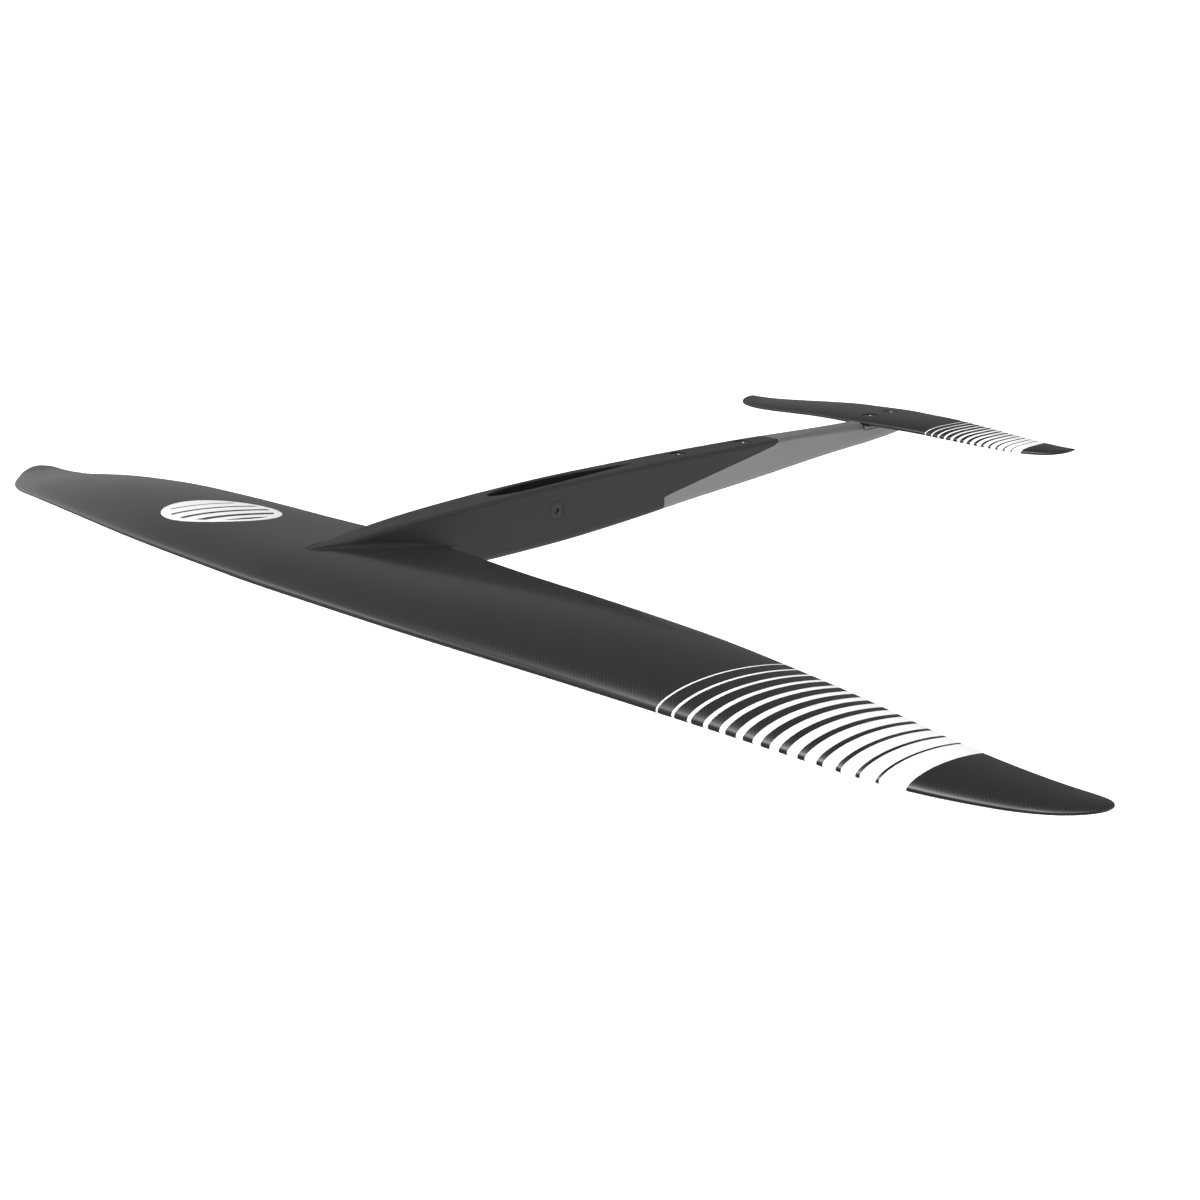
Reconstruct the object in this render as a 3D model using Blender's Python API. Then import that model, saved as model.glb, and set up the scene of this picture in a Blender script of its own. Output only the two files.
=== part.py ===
"""Hydrofoil wing assembly: front wing moulding, two-piece fuselage and
stabiliser, with the fasteners that hold them together.

Frame: +Y runs from nose to tail, +Z is up and +X is along the span, on the
right when looking from nose to tail; piece names call the +X side "right".
The origin is on the floor of the mast pocket, under the axis of the mast
cross screw. Sizes are in millimetres. Stations are measured from a datum near
the front wing's leading edge at the centre line; at() moves them to the frame.
"""

import math

import bmesh
import bpy
import numpy as np

# ---------------------------------------------------------------- dimensions
MM = 0.001
GAP = 0.3                 # clearance between neighbouring pieces

MAST_Y = 241.0            # datum to the cross screw axis
POCKET_FLOOR_Z = -10.0
POCKET_FRONT_Y = 191.5
POCKET_CHORD = 137.0      # mast section chord
POCKET_RATIO = 0.12       # mast section thickness / chord
POCKET_TAIL_HALF = 0.25   # half width added towards the pocket's rear edge
POCKET_STEPS = 14

# How far cutting tools run past the pieces.
BEYOND_X = 40.0
BEYOND_Z = 60.0

# Front wing stations: x, leading edge y, trailing edge y, leading edge z,
# trailing edge z, thickness / chord.
WING = [
    (0.0, -4.0, 147.7, 4.0, -2.4, 0.120),
    (129.0, 1.8, 134.2, 2.6, -0.8, 0.122),
    (249.0, 17.9, 132.2, -2.5, -3.1, 0.120),
    (354.0, 40.0, 130.3, -11.5, -10.7, 0.115),
    (437.0, 65.5, 132.1, -22.6, -22.4, 0.110),
    (475.0, 84.8, 134.5, -26.6, -26.4, 0.105),
    (492.0, 96.1, 136.2, -28.1, -27.7, 0.105),
    (502.0, 103.1, 136.8, -28.1, -28.0, 0.105),
    (509.0, 109.7, 136.3, -27.9, -27.9, 0.110),
    (513.5, 115.0, 134.4, -27.6, -27.7, 0.120),
    (516.3, 120.0, 131.6, -27.4, -27.5, 0.145),
    (517.6, 124.0, 128.6, -27.4, -27.4, 0.260),
]
WING_CORE_END = 437.0
WING_CORE_STEP = 2.5      # the core hollow closes over this length
REAR_CORE_START = 16.0
SPAR_END = 395.0
# Half-span sections over the core.
WING_CORE_SPAN = [0.0, REAR_CORE_START, 72.0, 129.0, 189.0, 249.0, 302.0, 354.0,
                  SPAR_END, WING_CORE_END]

# Stabiliser stations, same columns.
STAB = [
    (0.0, 588.3, 660.0, 21.2, 21.6, 0.095),
    (42.0, 593.5, 656.0, 20.2, 21.4, 0.100),
    (81.0, 600.3, 655.0, 17.5, 19.0, 0.105),
    (115.0, 607.4, 654.0, 14.7, 16.2, 0.110),
    (142.0, 616.0, 653.7, 12.9, 14.2, 0.110),
    (155.0, 623.3, 653.3, 12.7, 13.7, 0.110),
    (162.0, 630.2, 652.6, 13.1, 13.8, 0.115),
    (165.5, 636.9, 652.0, 13.7, 14.0, 0.130),
    (167.0, 643.5, 651.8, 14.2, 14.3, 0.180),
    (167.5, 647.5, 651.0, 14.5, 14.5, 0.350),
]
STAB_CORE_START = 17.0
STAB_CORE_END = 115.0
STAB_CORE_STEP = 2.0      # the core hollow closes over this length
STAB_CORE_SPAN = [STAB_CORE_START, 42.0, 62.0, 81.0, 98.0, STAB_CORE_END]

# Fuselage: y, half width, top z, bottom z.
BAR = [
    (44.0, 3.0, 13.7, -5.0),
    (50.0, 4.3, 14.3, -5.6),
    (60.0, 6.0, 14.9, -6.8),
    (75.0, 8.0, 16.4, -8.9),
    (103.0, 10.3, 18.9, -12.6),
    (129.0, 12.2, 20.6, -15.6),
    (155.0, 13.3, 21.9, -17.4),
    (181.0, 14.0, 23.1, -18.0),
    (215.0, 14.3, 24.3, -17.5),
    (250.0, 14.3, 25.2, -16.7),
    (290.0, 14.0, 25.6, -14.8),
    (330.0, 13.7, 25.6, -12.3),
    (370.0, 13.2, 25.5, -9.3),
    (410.0, 12.8, 25.0, -6.8),
    (445.0, 12.4, 24.5, -4.7),
    (470.0, 11.8, 24.0, -3.2),
    (500.0, 10.4, 23.3, -1.4),
    (530.0, 9.6, 22.6, 0.5),
    (560.0, 9.2, 22.1, 2.2),
]
SEAT_Z = 16.0             # seat under the stabiliser
SEAT_START_Y = 587.1
TAIL = [
    (575.0, 9.1, 21.9, 2.9),
    (586.5, 9.0, 21.8, 3.4),
    (SEAT_START_Y, 9.0, SEAT_Z, 3.4),
    (605.0, 8.8, SEAT_Z, 4.5),
    (625.0, 8.5, SEAT_Z, 6.2),
    (642.0, 8.1, SEAT_Z, 8.2),
    (650.0, 7.4, SEAT_Z, 9.9),
    (655.0, 5.4, SEAT_Z, 12.6),
]
BAR_RADIUS_TOP = 3.4
BAR_RADIUS_BOTTOM = 5.0
SEAT_RADIUS = 0.7         # upper edges along the seat
RADIUS_LIMIT = 0.45       # largest corner radius / half width or height
CORNER_STEPS = 3
SLOT_END_Y = 155.0        # rear of the slot through the wing skins
SLOT_EXTRA_Z = 30.0
FRONT_LAST_Y = 470.0      # last table station used by the front moulding
FRONT_END_Y = 485.0       # its uncut rear end
REAR_START_Y = 346.0      # uncut front end of the rear bar

# Scarf joint, y and z from bottom to top: the front moulding's tongue lies
# over the rear bar.
SCARF = [(348.5, -BEYOND_Z), (348.5, -0.8), (353.5, 0.6), (471.0, 19.8),
         (478.4, 22.2), (480.5, 25.0), (480.5, BEYOND_Z)]
SCARF_FRONT_LIMIT_Y = 300.0
SCARF_REAR_LIMIT_Y = 700.0
SCARF_SLOPE_SHIFT = 0.1   # rearward shift of the rear bar's slope points

# Fasteners (M6 countersunk, hexagon socket).
SCREW_R = 2.9
TIP_CHAMFER = 0.8
SCREW_CLEARANCE = 0.5
SCREW_BORE_R = SCREW_R + SCREW_CLEARANCE
HEAD_R = 5.65
HEAD_SEAT_R = HEAD_R + SCREW_CLEARANCE
HEAD_H = 3.2
HEAD_RIM = 0.5            # straight edge of the head
SEAT_CONE_START = 0.1     # countersink starts this far below the head's cone
SEAT_CONE_END = 0.6       # and reaches full width this far below its face
BORE_ABOVE_HEAD = 9.0
SOCKET_AF = 4.0           # across flats
SOCKET_DEPTH = 2.4
SOCKET_ABOVE_HEAD = 3.0
INSERT_R = 4.3
CHAMFER = 0.4             # on the inserts and the cup washer
INSERT_FLOOR_GAP = 0.4    # below an upright insert
SCREW_SEGMENTS = 20
CROSS_SEGMENTS = 24       # cup washer and the cutters on the cross axis

# Joint screws: y, tip z, head z, z of the scarf above the insert.
JOINT_SCREWS = {"front": (376.8, -5.2, 24.9, 4.4),
                "rear": (448.5, 4.6, 23.9, 16.15)}
JOINT_INSERT_TOP_DROP = 1.4
JOINT_INSERT_BELOW_TIP = 0.8
# Stabiliser screws: y, tip z, head z.
STAB_SCREWS = {"front": (606.0, 9.0, 24.4), "rear": (634.0, 11.2, 23.9)}
STAB_INSERT_BELOW_TIP = 0.9

# Mast cross screw: axis along X, head on the +X side.
CROSS_Z = 7.1
CROSS_CENTRE = (0.0, MAST_Y, CROSS_Z)
CROSS_TIP_X = -12.4
CROSS_HEAD_RIM = 0.4
CROSS_HEAD_DROP = 0.3     # head face below the washer's face
CROSS_HEAD_SIDE_GAP = 0.55
CUP_R = 6.5
CUP_BORE_R = 5.6
CUP_BORE_DEPTH = 0.65     # straight part, before the cone
CUP_DEPTH = 3.6
CUP_FACE_DROP = 0.15      # washer face below the fuselage side
CROSS_CUT_BEYOND = 12.0
CROSS_INSERT_WALL = 1.0   # left outside the blind insert hole

RAKE_AXIS = (606.0, 12.0)     # y, z of the stabiliser's rocking axis
RAKE_LIMIT = 1.0              # degrees each way

# Pad between seat and stabiliser.
PAD_STATIONS = [590.0, 591.2, 593.0, 596.0, 600.0, 605.0, 611.0, 618.0, 626.0,
                635.0, 644.0, 652.0]
PAD_TOP_GAP = 0.45
PAD_SIDE_INSET = 0.1
PAD_BORE_EXTRA = 0.2
PAD_BORE_BELOW = 5.0
PAD_BORE_TOP = 30.0

# Smoothing: edges sharper than this many degrees stay sharp.
CREASE = 40.0
CREASE_FINE = 35.0        # for the skins and the turned pieces

# Base colour, roughness, metallic.
FINISHES = {
    "carbon": ((0.020, 0.020, 0.021), 0.30, 0.0),
    "core": ((0.62, 0.60, 0.50), 0.85, 0.0),
    "spar": ((0.030, 0.031, 0.033), 0.55, 0.0),
    "anodised": ((0.36, 0.36, 0.365), 0.48, 1.0),
    "steel": ((0.40, 0.40, 0.40), 0.30, 1.0),
    "black_steel": ((0.060, 0.060, 0.060), 0.35, 1.0),
    "insert": ((0.60, 0.46, 0.22), 0.38, 1.0),
}


# ------------------------------------------------------------------- helpers
def make_material(name, look):
    colour, roughness, metallic = FINISHES[look]
    material = bpy.data.materials.new(name)
    material.use_nodes = True
    inputs = material.node_tree.nodes["Principled BSDF"].inputs
    inputs["Base Color"].default_value = (*colour, 1.0)
    inputs["Roughness"].default_value = roughness
    inputs["Metallic"].default_value = metallic
    material.diffuse_color = (*colour, 1.0)
    return material


def at(x, y, z):
    """Datum millimetres to metres in the assembly's frame."""
    return (x * MM, (y - MAST_Y) * MM, (z - POCKET_FLOOR_Z) * MM)


def loft(name, rings, look=None, crease=CREASE, closed=False):
    """Body through rings of equal point count. It is capped at both ends, or
    joined end to end if closed. Without a look it is a hidden cutter."""
    shape = bmesh.new()
    rows = [[shape.verts.new(at(*point)) for point in ring] for ring in rings]
    pairs = list(zip(rows, rows[1:]))
    if closed:
        pairs.append((rows[-1], rows[0]))
    count = len(rows[0])
    for row, following in pairs:
        for i in range(count):
            j = (i + 1) % count
            shape.faces.new((row[i], row[j], following[j], following[i]))
    if not closed:
        shape.faces.new(rows[0])
        shape.faces.new(list(reversed(rows[-1])))
    bmesh.ops.recalc_face_normals(shape, faces=shape.faces)
    mesh = bpy.data.meshes.new(name)
    shape.to_mesh(mesh)
    shape.free()

    piece = bpy.data.objects.new(name, mesh)
    bpy.context.scene.collection.objects.link(piece)
    if look is None:
        piece.hide_render = True
        piece.display_type = "WIRE"
    else:
        mesh.materials.append(make_material(name + "_finish", look))
        mesh.shade_smooth()
        mesh.set_sharp_from_angle(angle=math.radians(crease))
    return piece


def prism_cutter(name, outline, axis, low, high):
    """Outline extruded along X ("x": points are y, z) or Z ("z": x, y)."""
    if axis == "x":
        rings = [[(level, y, z) for y, z in outline] for level in (low, high)]
    else:
        rings = [[(x, y, level) for x, y in outline] for level in (low, high)]
    return loft(name, rings)


def turned(name, profile, centre, axis, look=None, segments=SCREW_SEGMENTS):
    """Profile of (distance along the axis, radius) spun into a closed body.
    A profile that returns to its start, such as a washer's, is a ring."""
    closed = profile[0] == profile[-1]
    rings = []
    for along, radius in profile[:-1] if closed else profile:
        ring = []
        for k in range(segments):
            angle = 2 * math.pi * k / segments
            across = radius * math.cos(angle)
            over = radius * math.sin(angle)
            offset = (along, across, over) if axis == "x" else (across, over, along)
            ring.append([c + d for c, d in zip(centre, offset)])
        rings.append(ring)
    return loft(name, rings, look, CREASE_FINE, closed)


def cut(target, *cutters):
    for tool in cutters:
        modifier = target.modifiers.new(tool.name, "BOOLEAN")
        modifier.operation = "DIFFERENCE"
        modifier.solver = "EXACT"
        modifier.object = tool


def interpolate(rows, place):
    """Monotone cubic through a station table, per column. The first column
    is the place; outside the table the end rows hold."""
    data = np.array(rows, float)
    places, values = data[:, 0], data[:, 1:]
    place = min(max(place, places[0]), places[-1])
    i = min(max(int(np.searchsorted(places, place)) - 1, 0), len(places) - 2)
    steps = np.diff(places)
    slopes = np.diff(values, axis=0) / steps[:, None]
    tangents = np.empty_like(values)
    tangents[0], tangents[-1] = slopes[0], slopes[-1]
    for k in range(1, len(places) - 1):
        before = 2 * steps[k] + steps[k - 1]
        after = steps[k] + 2 * steps[k - 1]
        # A turning point gets a level tangent; 1.0 avoids dividing by zero.
        same = slopes[k - 1] * slopes[k] > 0
        slope_in = np.where(same, slopes[k - 1], 1.0)
        slope_out = np.where(same, slopes[k], 1.0)
        mean = (before + after) / (before / slope_in + after / slope_out)
        tangents[k] = np.where(same, mean, 0.0)
    t = (place - places[i]) / steps[i]
    return ((1 + 2 * t) * (1 - t) ** 2 * values[i]
            + t * (1 - t) ** 2 * steps[i] * tangents[i]
            + t * t * (3 - 2 * t) * values[i + 1]
            + t * t * (t - 1) * steps[i] * tangents[i + 1])


# --------------------------------------------------------------------- foils
# Chordwise samples, as fractions of the chord. The core and spar limits
# have to be among them.
SAMPLES = [0.0, 0.006, 0.025, 0.06, 0.12, 0.20, 0.30, 0.47, 0.70, 0.85, 1.0]
CORE_CHORD = (0.06, 0.70)
SPAR_CHORD = (0.20, 0.30)
CAMBER_END = 250.0        # x where the root camber has given way


def thickness(s):
    """Half thickness at chord fraction s of a four-digit section of unit
    thickness ratio, closed at s = 1."""
    return 5 * (0.2969 * math.sqrt(s) - 0.1260 * s - 0.3516 * s ** 2
                + 0.2843 * s ** 3 - 0.1036 * s ** 4)


class Foil:
    """Two skins around a core. Here s is a fraction of the chord.

    camber: (forward, parabolic) amounts at the root, then outboard. Forward
    multiplies s (1 - s)^3 and parabolic 4 s (1 - s).
    tail: thickness of the blunt trailing edge.
    core_span: x from which and to which the core runs on each side.
    """

    def __init__(self, stations, camber, skin, tail, core_span):
        self.stations = stations
        self.camber = camber
        self.skin = skin
        self.tail = tail
        self.core_span = core_span

    def section(self, x):
        return interpolate(self.stations, abs(x))

    def middle(self, x, s):
        """Point on the camber line: y, z."""
        front_y, rear_y, front_z, rear_z, _ = self.section(x)
        chord = rear_y - front_y
        blend = min(1.0, abs(x) / CAMBER_END)
        blend = blend * blend * (3 - 2 * blend)
        forward, parabolic = (root + blend * (outer - root)
                              for root, outer in zip(*self.camber))
        bow = forward * s * (1 - s) ** 3 + 4 * parabolic * s * (1 - s)
        return front_y + s * chord, front_z + s * (rear_z - front_z) + bow * chord

    def half(self, x, s):
        """Half thickness of the section."""
        front_y, rear_y, _, _, ratio = self.section(x)
        return ratio * (rear_y - front_y) * thickness(s) + 0.5 * self.tail * s

    def hollow(self, x, s):
        """Half height of the core hollow."""
        inside = self.core_span[0] <= abs(x) <= self.core_span[1]
        if not inside or not CORE_CHORD[0] <= s <= CORE_CHORD[1]:
            return 0.0
        return max(0.0, self.half(x, s) - self.skin)

    def skin_ring(self, x, side):
        """Outer surface from nose to tail, then back along the inner one."""
        ring = []
        for s in SAMPLES:
            y, z = self.middle(x, s)
            ring.append((x, y, z + side * (GAP / 2 + self.half(x, s))))
        for s in reversed(SAMPLES[1:]):
            y, z = self.middle(x, s)
            ring.append((x, y, z + side * (GAP / 2 + self.hollow(x, s))))
        return ring

    def core_ring(self, x, start, end):
        """Core between two chordwise samples, clear of its neighbours."""
        marks = [s for s in SAMPLES if start <= s <= end]
        upper, lower = [], []
        for s in marks:
            y, z = self.middle(x, s)
            height = self.hollow(x, s) - GAP
            if s == start:
                y += 0.5 * GAP
            if s == end:
                y -= 0.5 * GAP
            upper.append((x, y, z + height))
            lower.append((x, y, z - height))
        return upper + list(reversed(lower))

    def loft_skins(self, prefix, spans):
        return [loft(f"{prefix}_{place}_skin",
                     [self.skin_ring(x, side) for x in spans],
                     "carbon", CREASE_FINE)
                for side, place in ((1, "upper"), (-1, "lower"))]

    def loft_core(self, name, spans, chord_range, look="core"):
        loft(name, [self.core_ring(x, *chord_range) for x in spans], look)

    def loft_side_cores(self, prefix, spans, chord_range):
        for sign, side in ((-1, "left"), (1, "right")):
            self.loft_core(f"{prefix}_{side}", [sign * x for x in spans],
                           chord_range)


WING_FOIL = Foil(WING, camber=((0.14, 0.0), (0.0, 0.028)), skin=1.6, tail=1.2,
                 core_span=(0.0, WING_CORE_END))
STAB_FOIL = Foil(STAB, camber=((0.0, 0.0), (0.0, 0.0)), skin=1.1, tail=0.9,
                 core_span=(STAB_CORE_START, STAB_CORE_END))


def both_sides(half_span):
    """Half-span places from x = 0 outward, mirrored to the full span."""
    return [-x for x in reversed(half_span[1:])] + half_span


def places_between(rows, low, high):
    return [row[0] for row in rows if low <= row[0] <= high]


def tip_places(stations, core_end):
    return [row[0] for row in stations if row[0] > core_end]


# ----------------------------------------------------------------- fasteners
def screw(name, tip, head, centre=(0.0, 0.0, 0.0), axis="z", head_radius=HEAD_R,
          head_height=HEAD_H, rim=HEAD_RIM, look="steel"):
    """Countersunk screw; its socket is cut into the head's flat face."""
    piece = turned(name, [(tip, SCREW_R - TIP_CHAMFER),
                          (tip + TIP_CHAMFER, SCREW_R),
                          (head - head_height, SCREW_R),
                          (head - rim, head_radius),
                          (head, head_radius)], centre, axis, look)
    corner = SOCKET_AF / math.sqrt(3)
    first, second = centre[1:] if axis == "x" else centre[:2]
    hexagon = []
    for k in range(6):
        angle = math.radians(60 * k + 30)
        hexagon.append((first + corner * math.cos(angle),
                        second + corner * math.sin(angle)))
    cut(piece, prism_cutter(name + "_socket_cutter", hexagon, axis,
                            head - SOCKET_DEPTH, head + SOCKET_ABOVE_HEAD))


def bore_cutter(name, y, bottom, head):
    """Upright clearance bore with a countersink for the head."""
    return turned(name, [(bottom, SCREW_BORE_R),
                         (head - HEAD_H - SEAT_CONE_START, SCREW_BORE_R),
                         (head - SEAT_CONE_END, HEAD_SEAT_R),
                         (head + BORE_ABOVE_HEAD, HEAD_SEAT_R)],
                  (0.0, y, 0.0), "z")


def threaded_insert(name, low, high, centre, axis):
    """Threaded insert, drawn as a plain sleeve."""
    turned(name, [(low, SCREW_BORE_R), (low, INSERT_R - CHAMFER),
                  (low + CHAMFER, INSERT_R), (high, INSERT_R),
                  (high, SCREW_BORE_R), (low, SCREW_BORE_R)],
           centre, axis, "insert")


def fit_insert(body, cutter_name, name, y, low, high):
    """Upright insert in a hole that is open at the top."""
    centre = (0.0, y, 0.0)
    radius = INSERT_R + GAP
    cut(body, turned(cutter_name, [(low - INSERT_FLOOR_GAP, radius),
                                   (BEYOND_Z, radius)], centre, "z"))
    threaded_insert(name, low, high, centre, "z")


# ------------------------------------------------------------------ fuselage
SIDE_X = interpolate(BAR, MAST_Y)[0]      # fuselage half width at the mast
CUP_FLOOR_X = SIDE_X - CUP_DEPTH


def bar_ring(y, half_width, top, bottom):
    """Rounded rectangle in the XZ plane at station y."""
    limit = RADIUS_LIMIT * min(half_width, top - bottom)
    upper = SEAT_RADIUS if y >= SEAT_START_Y else min(BAR_RADIUS_TOP, limit)
    lower = min(BAR_RADIUS_BOTTOM, limit)
    ring = []
    for x, z, radius, start in (
            (half_width - upper, top - upper, upper, 0.0),
            (-half_width + upper, top - upper, upper, 90.0),
            (-half_width + lower, bottom + lower, lower, 180.0),
            (half_width - lower, bottom + lower, lower, 270.0)):
        for k in range(CORNER_STEPS + 1):
            angle = math.radians(start + 90.0 * k / CORNER_STEPS)
            ring.append((x + radius * math.cos(angle), y,
                         z + radius * math.sin(angle)))
    return ring


def slot_ring(y):
    """The bar's section widened by the clearance and made very tall."""
    half_width, top, bottom = interpolate(BAR, y)
    return bar_ring(y, half_width + GAP, top + SLOT_EXTRA_Z, bottom - SLOT_EXTRA_Z)


def mast_pocket_cutter():
    """The mast's own section, straight down to the pocket floor."""
    outline = []
    for k in range(POCKET_STEPS + 1):
        s = 0.5 * (1 - math.cos(math.pi * k / POCKET_STEPS))
        outline.append((POCKET_RATIO * POCKET_CHORD * thickness(s)
                        + POCKET_TAIL_HALF * s,
                        POCKET_FRONT_Y + s * POCKET_CHORD))
    outline += [(-x, y) for x, y in reversed(outline) if x > 0.0]
    return prism_cutter("mast_pocket_cutter", outline, "z", POCKET_FLOOR_Z, BEYOND_Z)


def cross_cutter(name, low, high, radius):
    return turned(name, [(low, radius), (high, radius)], CROSS_CENTRE, "x",
                  segments=CROSS_SEGMENTS)


def front_fuselage():
    places = places_between(BAR, BAR[0][0], FRONT_LAST_Y) + [FRONT_END_Y]
    front = loft("front_fuselage",
                 [bar_ring(y, *interpolate(BAR, y)) for y in places], "carbon")
    below_scarf = SCARF + [(SCARF_REAR_LIMIT_Y, BEYOND_Z),
                           (SCARF_REAR_LIMIT_Y, -BEYOND_Z)]
    outside = SIDE_X + CROSS_CUT_BEYOND
    cut(front,
        prism_cutter("scarf_cutter_front", below_scarf, "x", -BEYOND_X, BEYOND_X),
        mast_pocket_cutter(),
        cross_cutter("cross_cup_cutter", CUP_FLOOR_X, outside, CUP_R + GAP),
        cross_cutter("cross_bore_cutter", 0.0, outside, SCREW_BORE_R),
        cross_cutter("cross_insert_cutter", -SIDE_X + CROSS_INSERT_WALL, 0.0,
                     INSERT_R + GAP))
    for which, (y, _, head, _) in JOINT_SCREWS.items():
        cut(front, bore_cutter(f"tongue_bore_cutter_{which}", y, -40.0, head))


def cross_fastening():
    """Cross screw, its cup washer and the insert in the -X wall."""
    floor = CUP_FLOOR_X + GAP
    face = SIDE_X - CUP_FACE_DROP
    cone = face - CUP_BORE_DEPTH
    turned("cross_screw_cup_washer",
           [(floor, SCREW_BORE_R), (floor, CUP_R), (face - CHAMFER, CUP_R),
            (face, CUP_R - CHAMFER), (face, CUP_BORE_R), (cone, CUP_BORE_R),
            (cone - CUP_BORE_R + SCREW_BORE_R, SCREW_BORE_R),
            (floor, SCREW_BORE_R)],
           CROSS_CENTRE, "x", "black_steel", CROSS_SEGMENTS)
    head_radius = CUP_BORE_R - CROSS_HEAD_SIDE_GAP
    screw("mast_cross_screw", CROSS_TIP_X, face - CROSS_HEAD_DROP,
          centre=CROSS_CENTRE, axis="x", head_radius=head_radius,
          head_height=CROSS_HEAD_RIM + head_radius - SCREW_R,
          rim=CROSS_HEAD_RIM, look="black_steel")
    pocket_side = POCKET_RATIO * POCKET_CHORD * thickness(
        (MAST_Y - POCKET_FRONT_Y) / POCKET_CHORD)
    threaded_insert("cross_screw_insert", -SIDE_X + CROSS_INSERT_WALL + GAP,
                    -pocket_side - GAP, CROSS_CENTRE, "x")


def rear_scarf_cutter():
    """Everything above the scarf, moved to leave a gap under the tongue."""
    outline = []
    for k, (y, z) in enumerate(SCARF):
        # Points 2 to 4 are the slope; the others bound the upright faces.
        shift = SCARF_SLOPE_SHIFT if 2 <= k <= 4 else GAP
        outline.append((y + shift, z - GAP if k > 0 else z))
    outline += [(SCARF_FRONT_LIMIT_Y, BEYOND_Z), (SCARF_FRONT_LIMIT_Y, -BEYOND_Z)]
    return prism_cutter("scarf_cutter_rear", outline, "x", -BEYOND_X, BEYOND_X)


def rear_fuselage():
    """Rear bar, under the tongue and back past the stabiliser seat, with the
    inserts for both screw pairs and the joint screws."""
    rows = BAR + TAIL
    places = [REAR_START_Y] + places_between(rows, REAR_START_Y, TAIL[-1][0])
    rear = loft("rear_fuselage",
                [bar_ring(y, *interpolate(rows, y)) for y in places], "anodised")
    cut(rear, rear_scarf_cutter())
    for which, (y, tip, head, scarf_z) in JOINT_SCREWS.items():
        fit_insert(rear, f"joint_insert_cutter_{which}", f"joint_insert_{which}",
                   y, tip - JOINT_INSERT_BELOW_TIP, scarf_z - JOINT_INSERT_TOP_DROP)
        screw(f"joint_screw_{which}", tip, head, centre=(0.0, y, 0.0))
    for which, (y, tip, _) in STAB_SCREWS.items():
        fit_insert(rear, f"stab_insert_cutter_{which}",
                   f"stabiliser_insert_{which}",
                   y, tip - STAB_INSERT_BELOW_TIP, SEAT_Z - GAP)


# --------------------------------------------------------------------- wings
def front_wing():
    half_span = (WING_CORE_SPAN + [WING_CORE_END + WING_CORE_STEP]
                 + tip_places(WING, WING_CORE_END))
    skins = WING_FOIL.loft_skins("front_wing", both_sides(half_span))
    # Opening through which the front of the fuselage passes.
    nose_y = BAR[0][0]
    slot_places = [nose_y - GAP] + places_between(BAR, BAR[1][0], SLOT_END_Y)
    slot = loft("fuselage_slot_cutter", [slot_ring(y) for y in slot_places])
    for skin in skins:
        cut(skin, slot)

    spar_span = [x for x in WING_CORE_SPAN if x <= SPAR_END]
    WING_FOIL.loft_core("front_wing_spar", both_sides(spar_span), SPAR_CHORD,
                        "spar")
    WING_FOIL.loft_core("front_wing_nose_core", both_sides(WING_CORE_SPAN),
                        (CORE_CHORD[0], SPAR_CHORD[0]))
    WING_FOIL.loft_side_cores("front_wing_rear_core", WING_CORE_SPAN[1:],
                              (SPAR_CHORD[1], CORE_CHORD[1]))


def stabiliser():
    half_span = ([0.0, STAB_CORE_START - STAB_CORE_STEP] + STAB_CORE_SPAN
                 + [STAB_CORE_END + STAB_CORE_STEP]
                 + tip_places(STAB, STAB_CORE_END))
    skins = STAB_FOIL.loft_skins("stabiliser", both_sides(half_span))
    for which, (y, tip, head) in STAB_SCREWS.items():
        bore = bore_cutter(f"stab_bore_cutter_{which}", y, 0.0, head)
        for skin in skins:
            cut(skin, bore)
        screw(f"stabiliser_screw_{which}", tip, head, centre=(0.0, y, 0.0))
    STAB_FOIL.loft_side_cores("stabiliser_core", STAB_CORE_SPAN, CORE_CHORD)


def saddle_pad():
    """Pad between bar and stabiliser. Its top follows the stabiliser's lower
    surface, dropped towards both ends so the stabiliser can rock on it."""
    bottom = SEAT_Z + GAP
    front_y, rear_y = STAB_FOIL.section(0.0)[:2]
    rings = []
    for y in PAD_STATIONS:
        s = (y - front_y) / (rear_y - front_y)
        under = STAB_FOIL.middle(0.0, s)[1] - GAP / 2 - STAB_FOIL.half(0.0, s)
        swing = math.tan(math.radians(RAKE_LIMIT)) * abs(y - RAKE_AXIS[0])
        top = under - PAD_TOP_GAP - swing
        x = interpolate(TAIL, y)[0] - PAD_SIDE_INSET
        rings.append([(-x, y, bottom), (x, y, bottom), (x, y, top), (-x, y, top)])
    pad = loft("stabiliser_seat_pad", rings, "anodised")
    radius = SCREW_BORE_R + PAD_BORE_EXTRA
    for which, (y, _, _) in STAB_SCREWS.items():
        cut(pad, turned(f"pad_bore_cutter_{which}",
                        [(bottom - PAD_BORE_BELOW, radius),
                         (PAD_BORE_TOP, radius)], (0.0, y, 0.0), "z"))


# -------------------------------------------------------------- moving pieces
def hang(piece, empty):
    """Parents a piece without moving it."""
    piece.parent = empty
    piece.matrix_parent_inverse = empty.matrix_world.inverted()


def hang_moving_pieces():
    """Parents the moving pieces, with their cutters, to empties on their
    joint axes."""
    groups = (
        ("stabiliser_rake_axis", (0.0, *RAKE_AXIS),
         ("stabiliser_upper_skin", "stabiliser_lower_skin",
          "stabiliser_core_left", "stabiliser_core_right",
          "stabiliser_screw_front", "stabiliser_screw_rear")),
        ("cross_screw_axis", CROSS_CENTRE, ("mast_cross_screw",)),
    )
    for axis_name, place, piece_names in groups:
        empty = bpy.data.objects.new(axis_name, None)
        empty.location = at(*place)
        bpy.context.scene.collection.objects.link(empty)
        # The empty's world matrix is only right after an update.
        bpy.context.view_layer.update()
        for name in piece_names:
            piece = bpy.data.objects[name]
            hang(piece, empty)
            for modifier in piece.modifiers:
                # The two skins share their cutters.
                if modifier.object.parent is None:
                    hang(modifier.object, empty)


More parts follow.
